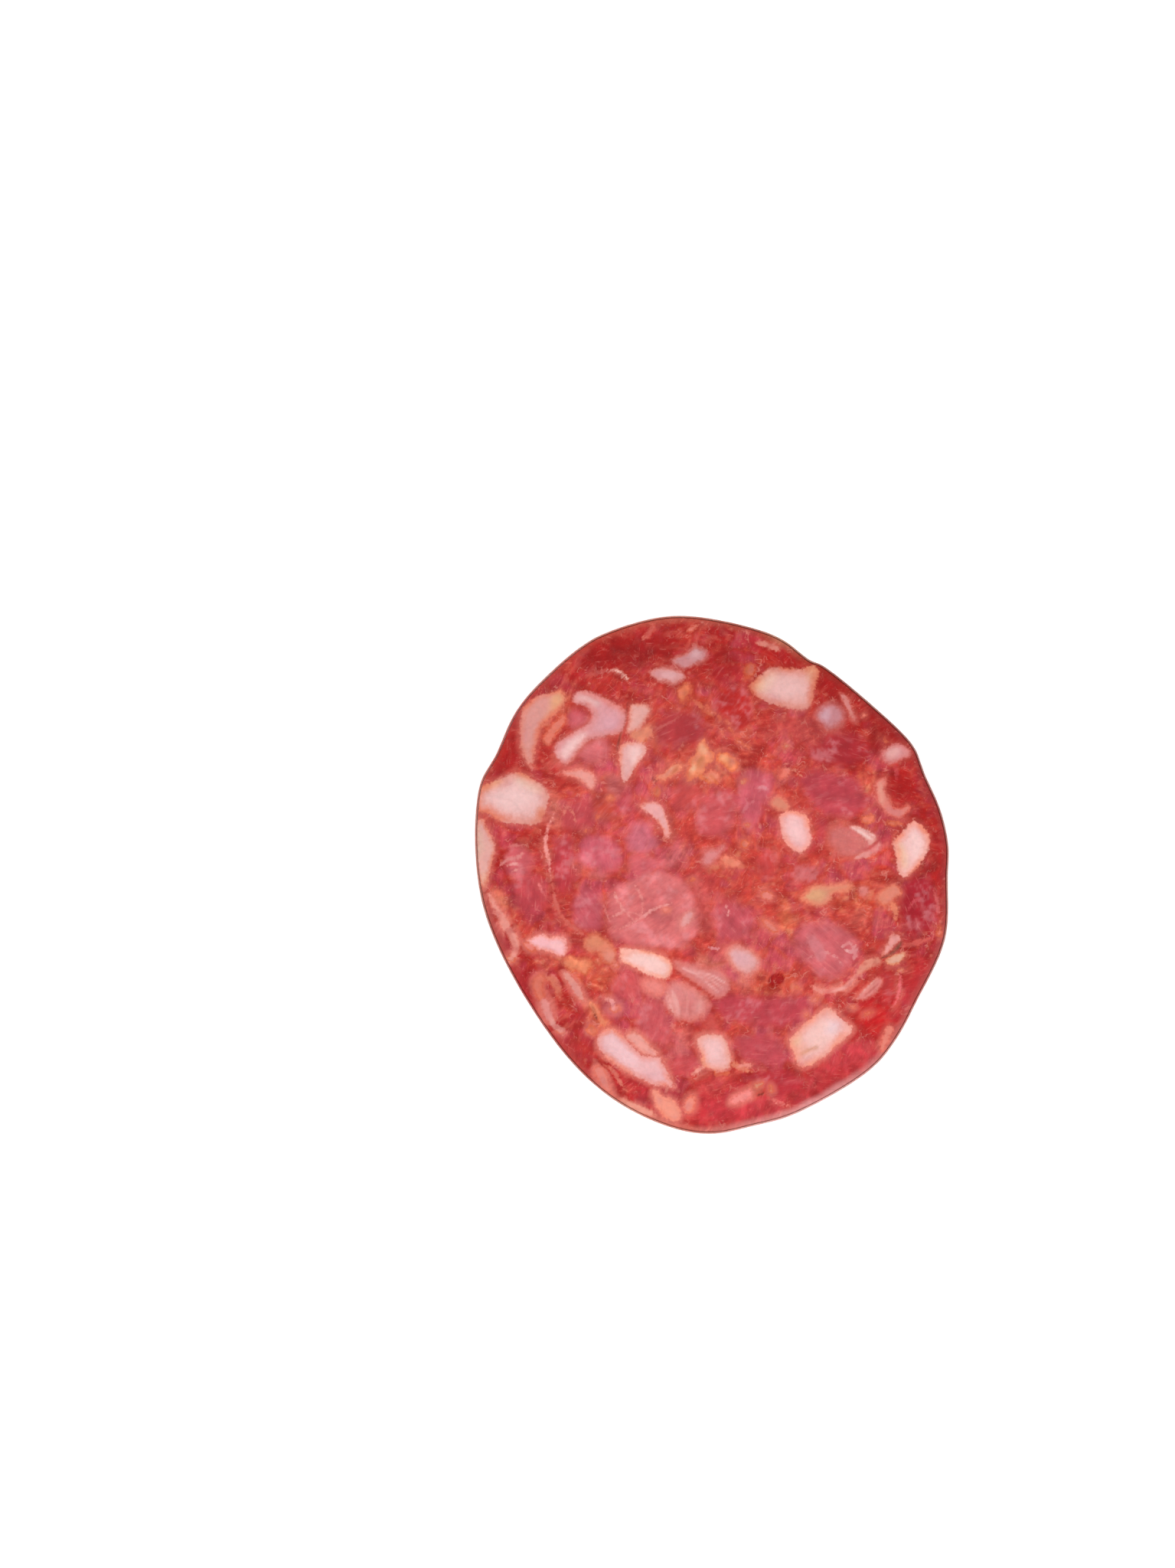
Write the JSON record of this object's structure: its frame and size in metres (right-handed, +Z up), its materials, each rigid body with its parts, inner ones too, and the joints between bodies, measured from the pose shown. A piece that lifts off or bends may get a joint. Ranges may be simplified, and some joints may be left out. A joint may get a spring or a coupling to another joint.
{
  "type": "cured sausage slice",
  "caption": "Thin round slice of dry-cured sausage: coarse lean and white fat bound in red paste, with a thin ring of casing.",
  "frame": {"origin": "on the surface that the slice lies on, under the middle of its box", "axes": "+Z up, square to the cut faces; +Y along the slice's longer way across; +X along its shorter way across"},
  "size_m": [0.0588, 0.0644, 0.0016],
  "materials": {
    "cured_meat": "satin",
    "casing_skin": "matte"
  },
  "bodies": {
    "root": {"meat_slice": "cured_meat", "casing": "casing_skin"}
  },
  "joints": []
}
